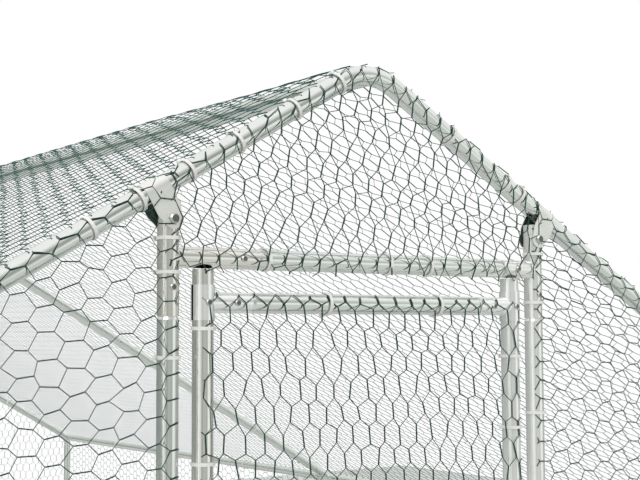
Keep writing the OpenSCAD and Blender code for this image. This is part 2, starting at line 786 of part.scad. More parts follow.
module bracket_bolts() {
    reach = band_r + sheet_t + nut_t + bolt_tail;
    color("silver") at_bolts() {
        pan_head(bolt_head_d, bolt_head_h, band_r + sheet_t);
        translate([0, 0, -reach]) cylinder(d = bolt_d, h = reach + band_r + sheet_t);
    }
}

module bracket_nuts() {
    color("silver") at_bolts() translate([0, 0, -band_r - sheet_t - nut_t]) difference() {
        cylinder(d = nut_d, h = nut_t, $fn = 6);
        translate([0, 0, -cut]) cylinder(r = bolt_d / 2 + run_gap, h = nut_t + 2 * cut);
    }
}

// Joint screws of the frame
module front_screws() {
    color("silver") for (s = front_screw_list) screw(s, tube_r);
}

module frame_screws() {
    color("silver") for (s = frame_screw_list) screw(s, tube_r);
}

// Foot caps under the legs and posts
module foot_caps() {
    spots = concat([for (side = [-1, 1], y = hoop_y) [side * half_w, y, 0]],
        [for (side = [-1, 1], y = [front_y, back_y]) [side * half_post, y, 0]]);
    color("dimgray") for (p = spots) translate(p) {
        cylinder(r = tube_r, h = cap_t);
        translate([0, 0, cap_t]) cylinder(r = plug_r, h = cap_plug_l);
    }
}

// Door uprights and bars
module upright(side) {
    bored([for (z = bar_zs) tee_screw(side, z)])
        translate([side * upright_x, front_y, upright_low])
            tube(upright_high - upright_low, false, false);
}

module door_left_upright() {
    color("silver") upright(-1);
}

module door_right_upright() {
    color("silver") upright(1);
}

module bar(z) {
    rail(bar_ends(z)[0], bar_ends(z)[1], stub_l, stub_l, outward);
}

module door_top_bar() {
    color("silver") bar(top_bar_z);
}

module door_middle_bar() {
    color("silver") bar(middle_bar_z);
}

module door_bottom_bar() {
    color("silver") bar(low_bar_z);
}

// T sleeves: slit sleeve round the upright and a socket for the bar
module tee(side, z) {
    p = [side * upright_x, front_y, z];
    bored(concat(bar_screws(z), [tee_screw(side, z)])) difference() {
        union() {
            translate(p) cylinder(r = tee_r, h = tee_h, center = true);
            stub_solid(p, [-side, 0, 0], stub_l);
        }
        translate(p) cylinder(r = band_r, h = tee_h + 2 * cut, center = true);
        translate(p + [side * tee_r, 0, 0]) cube([tee_r, tee_slit, tee_h + 2 * cut], center = true);
        stub_socket(p, [-side, 0, 0], stub_l);
    }
}

module door_tees() {
    color("silver") for (side = [-1, 1], z = bar_zs) tee(side, z);
}

module door_screws() {
    color("silver") for (s = bar_screw_list) screw(s, tube_r);
    color("silver") for (s = tee_screw_list) screw(s, tee_r);
}

// Hinge leaf: band on a tube, web and eye on the hinge axis
module leaf(x, z) {
    reach = abs(pin_x - x);
    translate([0, front_y, z]) difference() {
        union() {
            translate([x, 0, 0]) cylinder(r = tee_r, h = leaf_h);
            translate([pin_x, 0, 0]) cylinder(d = eye_d, h = leaf_h);
            translate([min(x, pin_x), -web_t / 2, 0]) cube([reach, web_t, leaf_h]);
        }
        translate([x, 0, -cut]) cylinder(r = band_r, h = leaf_h + 2 * cut);
        translate([pin_x, 0, -cut]) cylinder(r = pin_d / 2 + run_gap, h = leaf_h + 2 * cut);
    }
}

module post_hinge_leaves() {
    color("silver") for (z = hinge_zs) leaf(-half_post, z);
}

module door_hinge_leaves() {
    color("silver") for (z = hinge_zs) leaf(-upright_x, z + leaf_h + leaf_gap);
}

module hinge_pins() {
    pin_l = 2 * leaf_h + 2 * leaf_gap;
    color("silver") for (z = hinge_zs) translate([pin_x, front_y, z]) {
        cylinder(d = pin_d, h = pin_l);
        translate([0, 0, pin_l]) cylinder(d = pin_head_d, h = pin_head_t);
        translate([0, 0, -pin_head_t]) cylinder(d = pin_head_d, h = pin_head_t);
    }
}

// Latch: band with a forward ear on a tube
module latch_band(x, ear_x) {
    ear_l = latch_out + barrel_d / 2;
    translate([x, front_y, latch_z]) cylinder(r = tee_r, h = band_h, center = true);
    translate([ear_x, front_y - ear_l, latch_z - band_h / 2]) cube([ear_t, ear_l, band_h]);
}

module band_bore(x) {
    translate([x, front_y, latch_z]) cylinder(r = band_r, h = band_h + 2 * cut, center = true);
}

module latch_bore(r) {
    translate([0, latch_y, latch_z]) rotate([0, 90, 0]) cylinder(r = r, h = half_w);
}

module latch_guide() {
    color("silver") difference() {
        union() {
            latch_band(upright_x, guide_x - ear_t);
            translate([guide_x - barrel_l, latch_y, latch_z]) rotate([0, 90, 0])
                cylinder(d = barrel_d, h = barrel_l);
        }
        band_bore(upright_x);
        latch_bore(latch_d / 2 + run_gap);
    }
}

module latch_keeper() {
    color("silver") difference() {
        latch_band(half_post, keeper_x);
        band_bore(half_post);
        latch_bore(latch_d / 2 + keeper_gap);
    }
}

module latch_bolt() {
    color("silver") hoop_plane(latch_y) bent_rod([tip_x, latch_z], [handle_x, latch_z],
        [handle_x, latch_z - latch_handle_l], latch_bend_r, latch_d / 2, latch_d / 2 + bend_swell, 0);
}

// Nets: a flat sheet with clipped hexagonal gaps
module net_sheet(outline, widths, cell, level) {
    gaps = gaps_of(outline, widths, cell, level);
    loops = concat([outline], gaps);
    starts = [for (i = 0, n = 0; i < len(loops); n = n + len(loops[i]), i = i + 1) n];
    linear_extrude(net_t) polygon(
        [for (loop = loops) each loop],
        [for (i = [0:len(loops) - 1]) [for (k = [0:len(loops[i]) - 1]) starts[i] + k]]);
}

// Opens a front or back net round the heads on its tubes, with an eye round those on its edges
module net_with_heads(eyes, others, y) {
    difference() {
        union() {
            children();
            for (s = eyes) translate(s[0]) aim(s[1]) translate([0, 0, net_in])
                cylinder(r = screw_head_d / 2 + head_gap + net_eye, h = net_t);
        }
        for (s = concat(eyes, others))
            translate(s[0]) aim(s[1]) cylinder(r = screw_head_d / 2 + head_gap, h = tube_d);
        for (side = [-1, 1]) translate([side * half_post, y, bolt_z]) aim([0, sign(y), 0])
            cylinder(r = bolt_head_d / 2 + head_gap, h = tube_d);
    }
}

module front_sheet() {
    translate([0, front_y - net_in, 0]) rotate([90, 0, 0]) children();
}

module front_left_net() {
    mirrored = [for (i = [3:-1:0]) [-front_outline[i][0], front_outline[i][1]]];
    color("darkgreen") net_with_heads([post_screw(-1)], [], front_y) front_sheet()
        net_sheet(mirrored, [net_edge, net_edge, net_edge, shared_edge], front_cell, true);
}

module front_right_net() {
    color("darkgreen") net_with_heads([post_screw(1)], [], front_y) front_sheet()
        net_sheet(front_outline, [net_edge, net_edge, net_edge, shared_edge], front_cell, true);
}

module gable_net() {
    color("darkgreen") net_with_heads(lintel_screws, [], front_y) front_sheet()
        net_sheet(gable_outline,
            [net_edge, shared_edge, net_edge, net_edge, net_edge, shared_edge], gable_cell, false);
}

module door_net() {
    edge_screws = concat(bar_screws(low_bar_z), bar_screws(top_bar_z), tee_screw_list);
    color("darkgreen") net_with_heads(edge_screws, bar_screws(middle_bar_z), front_y) front_sheet()
        net_sheet(door_outline, [net_edge, net_edge, net_edge, net_edge], door_cell, false);
}

module back_net() {
    color("darkgreen") net_with_heads([], [], back_y)
        translate([0, back_y + net_in + net_t, 0]) rotate([90, 0, 0])
            net_sheet(back_outline, [for (p = back_outline) net_edge], wide_cell, false);
}

module wall_sheet() {
    net_sheet(wall_outline, [net_edge, net_edge, net_edge, net_edge], wide_cell, true);
}

module left_wall_net() {
    color("darkgreen") translate([-half_w - net_in - net_t, 0, 0]) rotate([90, 0, 90]) wall_sheet();
}

module right_wall_net() {
    color("darkgreen") translate([half_w + net_in, 0, 0]) rotate([90, 0, 90]) wall_sheet();
}

module roof_sheet() {
    translate([0, 0, net_in]) rotate([0, 0, 90])
        net_sheet(roof_outline, [net_edge, net_edge, net_edge, net_edge], wide_cell, true);
}

module right_roof_net() {
    color("darkgreen") translate([0, 0, ridge_z]) rotate([0, slope, 0]) roof_sheet();
}

module left_roof_net() {
    color("darkgreen") mirror([1, 0, 0]) translate([0, 0, ridge_z]) rotate([0, slope, 0]) roof_sheet();
}

// Cable ties: a band round the tube with its head behind
module tie(t) {
    translate(t[0]) aim(t[1]) difference() {
        cylinder(r = band_r + tie_t, h = tie_w, center = true);
        cylinder(r = band_r, h = tie_w + 2 * cut, center = true);
    }
    translate(t[0]) aim(-t[2]) translate([0, 0, band_r + tie_t / 2]) cylinder(d = tie_head_d, h = tie_head_h);
}

module frame_ties() {
    color("white") for (t = frame_tie_list) tie(t);
}

module door_ties() {
    color("white") for (t = door_tie_list) tie(t);
}

// Part to show: all of them or one by name

front_roof_bend();
middle_roof_bend();
back_roof_bend();
front_left_rafter();
front_right_rafter();
middle_rafters();
back_rafters();
front_left_leg();
front_right_leg();
middle_left_leg();
middle_right_leg();
back_left_leg();
back_right_leg();
ridge_tubes();
left_eave_rails();
right_eave_rails();
side_base_rails();
front_base_rails();
door_sill();
back_base_rails();
left_post_lower();
right_post_lower();
left_post_upper();
right_post_upper();
lintel();
back_left_post();
back_right_post();
left_post_bracket();
right_post_bracket();
back_post_brackets();
bracket_bolts();
bracket_nuts();
front_screws();
frame_screws();
foot_caps();
door_left_upright();
door_right_upright();
door_top_bar();
door_middle_bar();
door_bottom_bar();
door_tees();
door_screws();
post_hinge_leaves();
door_hinge_leaves();
hinge_pins();
latch_guide();
latch_bolt();
latch_keeper();
front_left_net();
front_right_net();
gable_net();
door_net();
left_wall_net();
right_wall_net();
back_net();
left_roof_net();
right_roof_net();
frame_ties();
door_ties();
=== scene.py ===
import json
import math

import bpy
import numpy as np
from mathutils import Euler, Matrix, Vector


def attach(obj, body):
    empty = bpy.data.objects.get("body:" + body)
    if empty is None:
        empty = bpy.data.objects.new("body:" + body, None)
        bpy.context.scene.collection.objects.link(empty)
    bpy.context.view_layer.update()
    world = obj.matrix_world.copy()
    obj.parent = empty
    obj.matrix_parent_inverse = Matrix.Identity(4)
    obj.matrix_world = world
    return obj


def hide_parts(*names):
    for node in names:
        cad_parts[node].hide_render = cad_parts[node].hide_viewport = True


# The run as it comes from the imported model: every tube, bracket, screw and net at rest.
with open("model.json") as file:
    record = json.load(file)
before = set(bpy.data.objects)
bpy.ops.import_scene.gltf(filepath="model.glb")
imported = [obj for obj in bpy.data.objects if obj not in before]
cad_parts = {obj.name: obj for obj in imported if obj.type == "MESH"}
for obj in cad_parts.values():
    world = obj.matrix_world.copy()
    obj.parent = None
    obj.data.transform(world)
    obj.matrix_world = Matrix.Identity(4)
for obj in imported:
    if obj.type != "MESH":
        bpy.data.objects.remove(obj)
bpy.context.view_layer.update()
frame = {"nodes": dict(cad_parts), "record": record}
nodes = frame["nodes"]

# Camera at eye level in front of the door end, a little to its left, and turned towards the far
# right. It looks slightly upwards at the gable, through a long lens.
FRONT_Y = -1.95
LINTEL_Z = 1.714
CAMERA_AT = (-0.986, FRONT_Y - 1.269, LINTEL_Z - 0.089)
FOCAL_PX = 1260.0
PICTURE_W = 640.0
SENSOR_W = 36.0
FAR_CLIP = 200.0
view_yaw = math.radians(35.60)
view_pitch = math.radians(4.27)
view_roll = math.radians(-0.23)


def put(name, data):
    thing = bpy.data.objects.new(name, data)
    bpy.context.scene.collection.objects.link(thing)
    return thing


camera_data = bpy.data.cameras.new("gable_camera")
camera_data.sensor_width = SENSOR_W
camera_data.lens = FOCAL_PX / PICTURE_W * SENSOR_W
camera_data.clip_end = FAR_CLIP
camera = put("gable_camera", camera_data)
look = Vector((math.sin(view_yaw) * math.cos(view_pitch),
               math.cos(view_yaw) * math.cos(view_pitch), math.sin(view_pitch)))
level = Vector((math.cos(view_yaw), -math.sin(view_yaw), 0.0))
rightward = math.cos(view_roll) * level + math.sin(view_roll) * level.cross(look)
upward = rightward.cross(look)
turned = Matrix((rightward, upward, -look)).transposed().to_4x4()
camera.matrix_world = Matrix.Translation(CAMERA_AT) @ turned
bpy.context.scene.camera = camera

# Tubes of the frame and the door: galvanised steel tube, drawn smooth and left bright.
# The zinc is glossy, with a faint cloudy bloom and fine specks that break its reflections.
CLOUD_SCALE, CLOUD_DETAIL = 34.0, 5.0
SPECK_SCALE, SPECK_DETAIL = 520.0, 2.0
SPECK_SHARE = 0.35
DULL_FROM, DULL_TO = 0.52, 0.86


# Gives a node its inputs, each a plain value or the socket that it is linked to
def feed(node, inputs):
    for socket, value in inputs.items():
        if isinstance(value, bpy.types.NodeSocket):
            node.id_data.links.new(value, node.inputs[socket])
        else:
            node.inputs[socket].default_value = value
    return node


def add_node(tree, kind, inputs, **settings):
    node = tree.nodes.new(kind)
    for setting, value in settings.items():
        setattr(node, setting, value)
    return feed(node, inputs)


def calc(tree, operation, *terms):
    node = add_node(tree, "ShaderNodeMath", dict(enumerate(terms)), operation=operation)
    return node.outputs["Value"]


def ranged(tree, value, low, high, to_low=0.0, to_high=1.0):
    node = add_node(tree, "ShaderNodeMapRange", {
        "Value": value, "From Min": low, "From Max": high, "To Min": to_low, "To Max": to_high})
    return node.outputs["Result"]


def new_tree(name, kind, inputs, outputs):
    tree = bpy.data.node_groups.new(name, kind)
    for in_out, sockets in (("INPUT", inputs), ("OUTPUT", outputs)):
        for label, socket in sockets.items():
            tree.interface.new_socket(label, in_out=in_out, socket_type="NodeSocket" + socket)
    return tree, tree.nodes.new("NodeGroupInput").outputs


def noise(tree, scale, detail):
    place = add_node(tree, "ShaderNodeTexCoord", {}).outputs["Object"]
    node = add_node(tree, "ShaderNodeTexNoise",
                    {"Vector": place, "Scale": scale, "Detail": detail})
    return node.outputs["Fac"]


def zinc_bloom():
    tree, given = new_tree("zinc_bloom", "ShaderNodeTree",
                           {"Base": "Color", "Gloss": "Float", "Bloom": "Float"},
                           {"Colour": "Color", "Roughness": "Float"})
    cloud = noise(tree, CLOUD_SCALE, CLOUD_DETAIL)
    speck = noise(tree, SPECK_SCALE, SPECK_DETAIL)
    both = calc(tree, "MULTIPLY_ADD", speck, SPECK_SHARE, cloud)
    spread = calc(tree, "MULTIPLY", ranged(tree, both, DULL_FROM, DULL_TO), given["Bloom"])
    keep = calc(tree, "SUBTRACT", 1.0, spread)
    shade = add_node(tree, "ShaderNodeVectorMath", {0: given["Base"], "Scale": keep},
                     operation="SCALE")
    add_node(tree, "NodeGroupOutput", {
        "Colour": shade.outputs["Vector"],
        "Roughness": calc(tree, "ADD", given["Gloss"], spread)})
    return tree


bloom_group = zinc_bloom()


def add_group(tree, group, inputs):
    return add_node(tree, "ShaderNodeGroup", inputs, node_tree=group).outputs


def new_finish(name):
    finish = bpy.data.materials.new(name)
    finish.use_nodes = True
    return finish, finish.node_tree, finish.node_tree.nodes["Principled BSDF"]


def zinc_finish(name, colour, gloss, bloom, metallic):
    finish, tree, bsdf = new_finish(name)
    cover = add_group(tree, bloom_group,
                      {"Base": (*colour, 1.0), "Gloss": gloss, "Bloom": bloom})
    feed(bsdf, {"Base Color": cover["Colour"], "Roughness": cover["Roughness"],
                "Metallic": metallic})
    return finish


def nodes_of(slot):
    return [s["node"] for s in frame["record"]["subparts"] if s["material_slot"] == slot]


def dress(names, finish):
    for name in names:
        mesh = nodes[name].data
        mesh.materials.clear()
        mesh.materials.append(finish)


tube_zinc = zinc_finish("tube_zinc", (0.84, 0.86, 0.835), 0.13, 0.045, 1.0)
dress(nodes_of("galvanised"), tube_zinc)

# Tubes at the doorway that differ from the rest: other copies of the galvanised zinc finish.
# Those on the latch side are a paler, less mirrored copy: painted light that makes them read
# brighter. The left upright and the upper piece of the left post, which has the lintel's left stub
# on it, are warmer in tone.
# pale_zinc: lighter copy of the tube zinc, painted light
pale_zinc = zinc_finish("pale_zinc", (0.95, 0.95, 0.93), 0.14, 0.045, 0.68)
dress(["door_right_upright", "right_post_lower", "right_post_upper"], pale_zinc)
warm_zinc = zinc_finish("warm_zinc", (0.90, 0.875, 0.83), 0.16, 0.045, 1.0)
dress(["left_post_upper"], warm_zinc)
upright_zinc = zinc_finish("upright_zinc", (0.90, 0.885, 0.85), 0.13, 0.045, 1.0)
dress(["door_left_upright"], upright_zinc)

# T sleeves of the door: short slit tubes pushed over the uprights and screwed to the bars.
# They are a whiter, less mirrored copy of the tube zinc, with a softer sheen; that extra whiteness
# is a painted highlight. On the outer side of each, the edges of the slit and the strip of upright
# that shows in it are painted dark: painted shade in the gap.
UPRIGHT_X = 0.245
LOW_BAR_Z = 0.111
MIDDLE_BAR_Z = 0.8555
TOP_BAR_Z = 1.662
SLEEVE_H = 0.041
SLIT_X = UPRIGHT_X + 0.013
SLIT_DEPTH = 0.0022
SLIT_EDGE = 0.0019
SLIT_STRIP = 0.0014
# The last is the colour of the painted shade in the slits
SLIT_PAINTED_SHADE = (0.010, 0.012, 0.011)


def mixed(tree, share, a, b):
    node = add_node(tree, "ShaderNodeMix", {"Factor": share, "A": a, "B": b}, data_type="RGBA")
    return node.outputs["Result"]


# Paints a colour over what a finish has, where the mask is 1
def paint_over(finish, mask, colour):
    bsdf = finish.node_tree.nodes["Principled BSDF"]
    below = bsdf.inputs["Base Color"].links[0].from_socket
    feed(bsdf, {"Base Color": mixed(finish.node_tree, mask, below, (*colour, 1.0))})


def parts_of(tree, coordinate):
    place = add_node(tree, "ShaderNodeTexCoord", {}).outputs[coordinate]
    return add_node(tree, "ShaderNodeSeparateXYZ", {"Vector": place}).outputs


def slit_shade_mask():
    tree, given = new_tree("slit_shade_mask", "ShaderNodeTree", {"Half Width": "Float"},
                           {"Mask": "Float"})
    at = parts_of(tree, "Object")
    outer = calc(tree, "COMPARE", calc(tree, "ABSOLUTE", at["X"]), SLIT_X, SLIT_DEPTH)
    middle = calc(tree, "COMPARE", at["Y"], FRONT_Y, given["Half Width"])
    rows = 0.0
    for z in (LOW_BAR_Z, MIDDLE_BAR_Z, TOP_BAR_Z):
        rows = calc(tree, "ADD", rows, calc(tree, "COMPARE", at["Z"], z, SLEEVE_H / 2))
    strip = calc(tree, "MULTIPLY", outer, middle)
    add_node(tree, "NodeGroupOutput", {"Mask": calc(tree, "MULTIPLY", strip, rows)})
    return tree


slit_shade_group = slit_shade_mask()
sleeve_zinc = zinc_finish("sleeve_zinc", (0.97, 0.975, 0.97), 0.16, 0.03, 0.72)
dress(["door_tees"], sleeve_zinc)
# Paints the shade of the slit onto the sleeves and the uprights
for finish, half_w in ((sleeve_zinc, SLIT_EDGE), (upright_zinc, SLIT_STRIP),
                       (pale_zinc, SLIT_STRIP)):
    mask = add_group(finish.node_tree, slit_shade_group, {"Half Width": half_w})["Mask"]
    paint_over(finish, mask, SLIT_PAINTED_SHADE)

# Roof brackets: folded sheet saddles over the roof tube, bolted through the tops of the posts.
# Their pale zinc is flatter and duller than that of the tubes, and the folded-in faces, where
# shade falls, are painted dark: painted shade.
# Painted shade on the folded-in faces: its reach and its colour
FOLD_FROM, FOLD_TO = -0.003, -0.009
FOLD_PAINTED_SHADE = (0.085, 0.125, 0.108)
sheet_zinc = zinc_finish("sheet_zinc", (0.88, 0.875, 0.845), 0.30, 0.10, 0.6)
sheet_tree = sheet_zinc.node_tree
sheet_y = parts_of(sheet_tree, "Object")["Y"]
sheet_end = calc(sheet_tree, "SIGN", sheet_y)
sheet_past = calc(sheet_tree, "MULTIPLY_ADD", sheet_end, FRONT_Y, sheet_y)
sheet_out = calc(sheet_tree, "MULTIPLY", sheet_past, parts_of(sheet_tree, "Normal")["Y"])
paint_over(sheet_zinc, ranged(sheet_tree, sheet_out, FOLD_FROM, FOLD_TO), FOLD_PAINTED_SHADE)
dress(nodes_of("bracket_sheet"), sheet_zinc)

# Screws, bolts, nuts and hinge pins: small zinc-plated steel fasteners with rounded heads.
# They sit in drilled holes through sockets, sleeves and flanges. A surface that squarely faces
# along X or Y, such as the crown of a head, is painted dark: painted shade, as of a recess in it.
# Painted shade on the crowns: its reach and its colour
CROWN_FROM, CROWN_TO = 0.972, 0.992
CROWN_PAINTED_SHADE = (0.180, 0.175, 0.162)
fastener_zinc = zinc_finish("fastener_zinc", (0.66, 0.66, 0.64), 0.30, 0.12, 1.0)
fastener_tree = fastener_zinc.node_tree
facing = parts_of(fastener_tree, "Normal")
squarely = calc(fastener_tree, "MAXIMUM", calc(fastener_tree, "ABSOLUTE", facing["X"]),
                calc(fastener_tree, "ABSOLUTE", facing["Y"]))
paint_over(fastener_zinc, ranged(fastener_tree, squarely, CROWN_FROM, CROWN_TO), CROWN_PAINTED_SHADE)
dress(nodes_of("zinc_fastener"), fastener_zinc)

# Foot caps: black plastic plugs under the legs and posts, moulded with a fine grain.
# They keep soil out of the tube ends and stand on the ground.
CAP_GRAIN_SCALE, CAP_GRAIN_DETAIL = 900.0, 3.0
CAP_GRAIN_H = 0.0004
CAP_GRAIN_STRENGTH = 0.35
CAP_ROUGHNESS = 0.5


def mottle():
    tree, given = new_tree("mottle", "ShaderNodeTree",
                           {"Scale": "Float", "Detail": "Float", "Dark": "Color", "Light": "Color"},
                           {"Colour": "Color", "Value": "Float"})
    value = noise(tree, given["Scale"], given["Detail"])
    add_node(tree, "NodeGroupOutput", {
        "Colour": mixed(tree, value, given["Dark"], given["Light"]), "Value": value})
    return tree


mottle_group = mottle()


def mottled_finish(name, scale, detail, dark, light):
    finish, tree, bsdf = new_finish(name)
    cover = add_group(tree, mottle_group, {
        "Scale": scale, "Detail": detail, "Dark": (*dark, 1.0), "Light": (*light, 1.0)})
    feed(bsdf, {"Base Color": cover["Colour"]})
    return finish, tree, bsdf, cover["Value"]


cap_plastic, cap_tree, cap_bsdf, cap_grain = mottled_finish(
    "cap_plastic", CAP_GRAIN_SCALE, CAP_GRAIN_DETAIL, (0.018, 0.018, 0.018), (0.045, 0.045, 0.043))
cap_bump = add_node(cap_tree, "ShaderNodeBump", {
    "Strength": CAP_GRAIN_STRENGTH, "Distance": CAP_GRAIN_H, "Height": cap_grain})
feed(cap_bsdf, {"Normal": cap_bump.outputs["Normal"], "Roughness": CAP_ROUGHNESS})
dress(["foot_caps"], cap_plastic)

# Netting: hexagonal wire mesh in a green coat, each mesh closed by two wires twisted together.
# It is cut to size, laid on the outside of the tubes and bent round them at its cut edges.
# The nets of the walls, back and roof have a lighter, greener copy of the net finish: painted
# light that makes these far nets read paler.
NET_WEAR_SCALE, NET_WEAR_DETAIL = 60.0, 4.0
NET_SMOOTH, NET_ROUGH = 0.38, 0.60
NET_SPECULAR = 0.18


def net_finish(name, dark, light):
    finish, tree, bsdf, wear = mottled_finish(name, NET_WEAR_SCALE, NET_WEAR_DETAIL, dark, light)
    feed(bsdf, {"Roughness": ranged(tree, wear, 0.0, 1.0, NET_SMOOTH, NET_ROUGH),
                "Specular IOR Level": NET_SPECULAR})
    return finish


near_green = net_finish("near_green", (0.008, 0.040, 0.029), (0.024, 0.074, 0.056))
# far_green: lighter copy of the net finish for the far nets, painted light
far_green = net_finish("far_green", (0.004, 0.062, 0.050), (0.020, 0.120, 0.100))

WIRE_SIDES = 4
WIRE_MERGE = 0.0003


def join_and_paint(tree, shapes, finish):
    join = add_node(tree, "GeometryNodeJoinGeometry", {})
    for shape in shapes:
        feed(join, {"Geometry": shape})
    real = add_node(tree, "GeometryNodeRealizeInstances", {"Geometry": join.outputs["Geometry"]})
    paint = add_node(tree, "GeometryNodeSetMaterial", {
        "Geometry": real.outputs["Geometry"], "Material": finish})
    add_node(tree, "NodeGroupOutput", {"Geometry": paint.outputs["Geometry"]})


def wire_tree():
    tree, given = new_tree("wire_net", "GeometryNodeTree", {
        "Geometry": "Geometry", "Wire Radius": "Float", "Twist Width": "Float",
        "Twist Points": "Int", "Twist Turns": "Float", "Twist Ends": "Bool",
        "Finish": "Material"}, {"Geometry": "Geometry"})
    which = add_node(tree, "GeometryNodeInputNamedAttribute", {"Name": "twist"},
                     data_type="BOOLEAN")
    part = add_node(tree, "GeometryNodeSeparateGeometry", {
        "Geometry": given["Geometry"], "Selection": which.outputs["Attribute"]}, domain="EDGE")
    # Single wires that zigzag between two rows of twists
    merge = add_node(tree, "GeometryNodeMergeByDistance", {
        "Geometry": part.outputs["Inverted"], "Distance": WIRE_MERGE})
    splay = add_node(tree, "GeometryNodeMeshToCurve", {"Mesh": merge.outputs["Geometry"]})
    round_wire = add_node(tree, "GeometryNodeCurvePrimitiveCircle", {
        "Resolution": WIRE_SIDES, "Radius": given["Wire Radius"]})
    splay_mesh = add_node(tree, "GeometryNodeCurveToMesh", {
        "Curve": splay.outputs["Curve"], "Profile Curve": round_wire.outputs["Curve"],
        "Fill Caps": True})
    # Twisted pairs, each as one turned strip
    pair = add_node(tree, "GeometryNodeMeshToCurve", {"Mesh": part.outputs["Selection"]})
    steps = add_node(tree, "GeometryNodeResampleCurve", {
        "Curve": pair.outputs["Curve"], "Count": given["Twist Points"]})
    along = add_node(tree, "GeometryNodeSplineParameter", {}).outputs["Factor"]
    tilt = add_node(tree, "GeometryNodeSetCurveTilt", {
        "Curve": steps.outputs["Curve"],
        "Tilt": calc(tree, "MULTIPLY", along, given["Twist Turns"])})
    flat = add_node(tree, "GeometryNodeCurvePrimitiveQuadrilateral", {
        "Width": given["Twist Width"],
        "Height": calc(tree, "MULTIPLY", given["Wire Radius"], 2.0)})
    pair_mesh = add_node(tree, "GeometryNodeCurveToMesh", {
        "Curve": tilt.outputs["Curve"], "Profile Curve": flat.outputs["Curve"],
        "Fill Caps": given["Twist Ends"]})
    join_and_paint(tree, (splay_mesh.outputs["Mesh"], pair_mesh.outputs["Mesh"]), given["Finish"])
    return tree


wire_net = wire_tree()


# Runs a tree on an object and puts its result in the scene as a plain mesh
def shaped_by(tree, inputs, maker, name):
    modifier = maker.modifiers.new(tree.name, "NODES")
    modifier.node_group = tree
    for item in tree.interface.items_tree:
        if item.item_type == "SOCKET" and item.in_out == "INPUT" and item.name in inputs:
            modifier[item.identifier] = inputs[item.name]
    shaped = maker.evaluated_get(bpy.context.evaluated_depsgraph_get())
    mesh = bpy.data.meshes.new_from_object(shaped)
    bpy.data.objects.remove(maker)
    mesh.name = name
    return put(name, mesh)


NET_OUT = 0.0150
PRESS = 0.0012
PRESS_REACH = 0.010
BEND_ZONE = 0.030
BENT_STEPS = (0.0, 0.08, 0.25, 0.42, 0.58, 0.75, 0.92, 1.0)
STRAIGHT_STEPS = (0.0, 0.08, 0.92, 1.0)
TWIST_POINTS = 5
PULL_WAVES = 5
PULL_PITCH = 28.0
PULL_SIZE = 0.0011
END_PLAY = 0.0016
CUT_LESS, CUT_MORE = -0.3, 0.15
SHORTEST = 0.0015


# Slow pulls that leave no two meshes of a net alike
def net_pull(points, rng):
    pull = np.zeros_like(points)
    for _ in range(PULL_WAVES):
        wave = rng.normal(0.0, PULL_PITCH, 2)
        swing = np.sin(points @ wave + rng.uniform(0.0, 2 * math.pi))
        pull += swing[..., None] * rng.normal(0.0, PULL_SIZE, 2)
    return pull


def inward_of(p, q):
    return np.array([p[1] - q[1], q[0] - p[0]]) / np.linalg.norm(q - p)


# Wires of a net in its own plane. The outline follows the tube axes counter-clockwise, and the
# net hangs over each of its edges by a length; middle is the centre of one twist
def net_wires(outline, hang, middle, across, along, twist_l, seed):
    rng = np.random.default_rng(seed)
    outline, across, along = np.array(outline), np.array(across), np.array(along)
    reach = np.linalg.solve(np.stack([across, along], 1), (outline - middle).T)
    i = np.arange(math.floor(reach[0].min()) - 2, math.ceil(reach[0].max()) + 3)
    j = np.arange(math.floor(reach[1].min()) - 2, math.ceil(reach[1].max()) + 3)
    i, j = np.meshgrid(i, j, indexing="ij")
    centre = middle + (i + (j % 2) * 0.5)[..., None] * across + j[..., None] * along
    centre = centre + net_pull(centre, rng)
    half = along / np.linalg.norm(along) * twist_l / 2
    foot = centre - half + rng.normal(0.0, END_PLAY, centre.shape)
    head = centre + half + rng.normal(0.0, END_PLAY, centre.shape)
    columns = np.arange(i.shape[0])[1:-1, None]
    rows = np.arange(i.shape[1])[None, :-1]
    to_left = columns - (j[1:-1, :-1] % 2 == 0)
    upper = head[columns, rows].reshape(-1, 2)
    a = [foot.reshape(-1, 2), upper, upper]
    b = [head.reshape(-1, 2), foot[to_left, rows + 1].reshape(-1, 2),
         foot[to_left + 1, rows + 1].reshape(-1, 2)]
    twist = np.repeat([True, False], [len(a[0]), len(a[1]) + len(a[2])])
    a, b = np.concatenate(a), np.concatenate(b)
    t0, t1 = np.zeros(len(a)), np.ones(len(a))
    for p, q, over in zip(outline, np.roll(outline, -1, 0), hang):
        inward = inward_of(p, q)
        cut = over + rng.uniform(CUT_LESS, CUT_MORE, len(a)) * abs(over)
        da, db = (a - p) @ inward + cut, (b - p) @ inward + cut
        with np.errstate(divide="ignore", invalid="ignore"):
            cross = da / (da - db)
        t0 = np.where((da < 0) & (db >= 0), np.maximum(t0, cross), t0)
        t1 = np.where((da >= 0) & (db < 0), np.minimum(t1, cross), t1)
        t1 = np.where((da < 0) & (db < 0), -1.0, t1)
    keep = (t1 - t0) * np.linalg.norm(b - a, axis=1) > SHORTEST
    a, b, t0, t1, twist = a[keep], b[keep], t0[keep, None], t1[keep, None], twist[keep]
    return a + (b - a) * t0, a + (b - a) * t1, twist


# Presses a net to the tubes along its outline, and bends its cut edges round those named in bent
def net_bend(points, outline, bent):
    points, outline = points.copy(), np.array(outline)
    out = np.full(len(points), NET_OUT)
    radius = NET_OUT - PRESS
    for p, q, bends in zip(outline, np.roll(outline, -1, 0), bent):
        outward = -inward_of(p, q)
        past = (points - p) @ outward
        turn = np.maximum(past, 0.0) / NET_OUT
        out = np.minimum(out, NET_OUT - PRESS * np.exp(-(past / PRESS_REACH) ** 2))
        if bends:
            pulled_in = np.where(past > 0, past - radius * np.sin(turn), 0.0)
            points = points - pulled_in[:, None] * outward
            out = np.where(past > 0, np.minimum(out, radius * np.cos(turn)), out)
    return points, out


